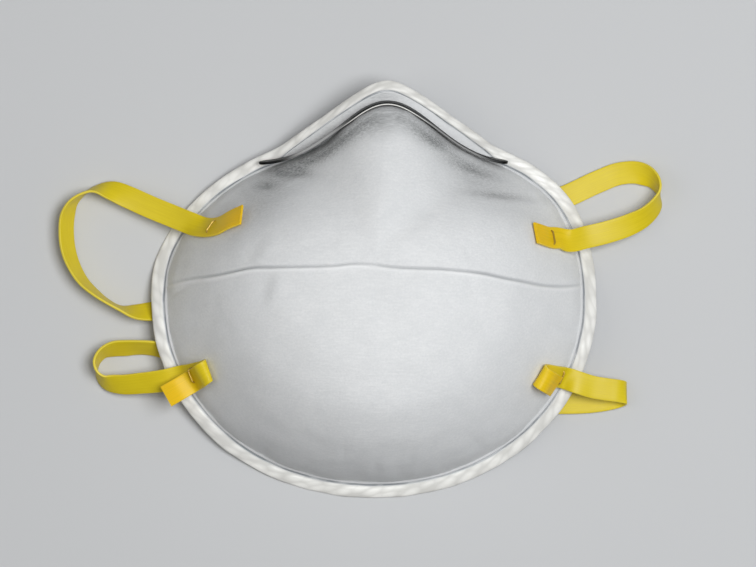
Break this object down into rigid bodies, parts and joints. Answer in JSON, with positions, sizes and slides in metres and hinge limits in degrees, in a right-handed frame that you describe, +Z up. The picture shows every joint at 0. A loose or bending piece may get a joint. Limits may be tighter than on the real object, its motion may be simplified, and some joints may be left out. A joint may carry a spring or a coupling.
{
  "type": "moulded cup face mask",
  "caption": "Moulded cup face mask of white non-woven cloth with a welded edge, a bent metal nose clip and stapled yellow elastic head straps.",
  "frame": {"origin": "middle of the mask's plan outline, without the straps, on the surface that it lies on", "axes": "+X to the right seen from the front, +Y from chin to nose, +Z up out of the cup's front"},
  "size_m": [0.1871, 0.129, 0.0482],
  "materials": {
    "cloth": "matte",
    "elastic": "satin",
    "clip": "satin",
    "staple": "satin"
  },
  "bodies": {
    "root": {"cup": "cloth", "nose_clip": "clip", "upper_head_strap": "elastic", "lower_head_strap": "elastic", "staple_upper_left": "staple", "staple_upper_right": "staple", "staple_lower_left": "staple", "staple_lower_right": "staple"}
  },
  "joints": []
}
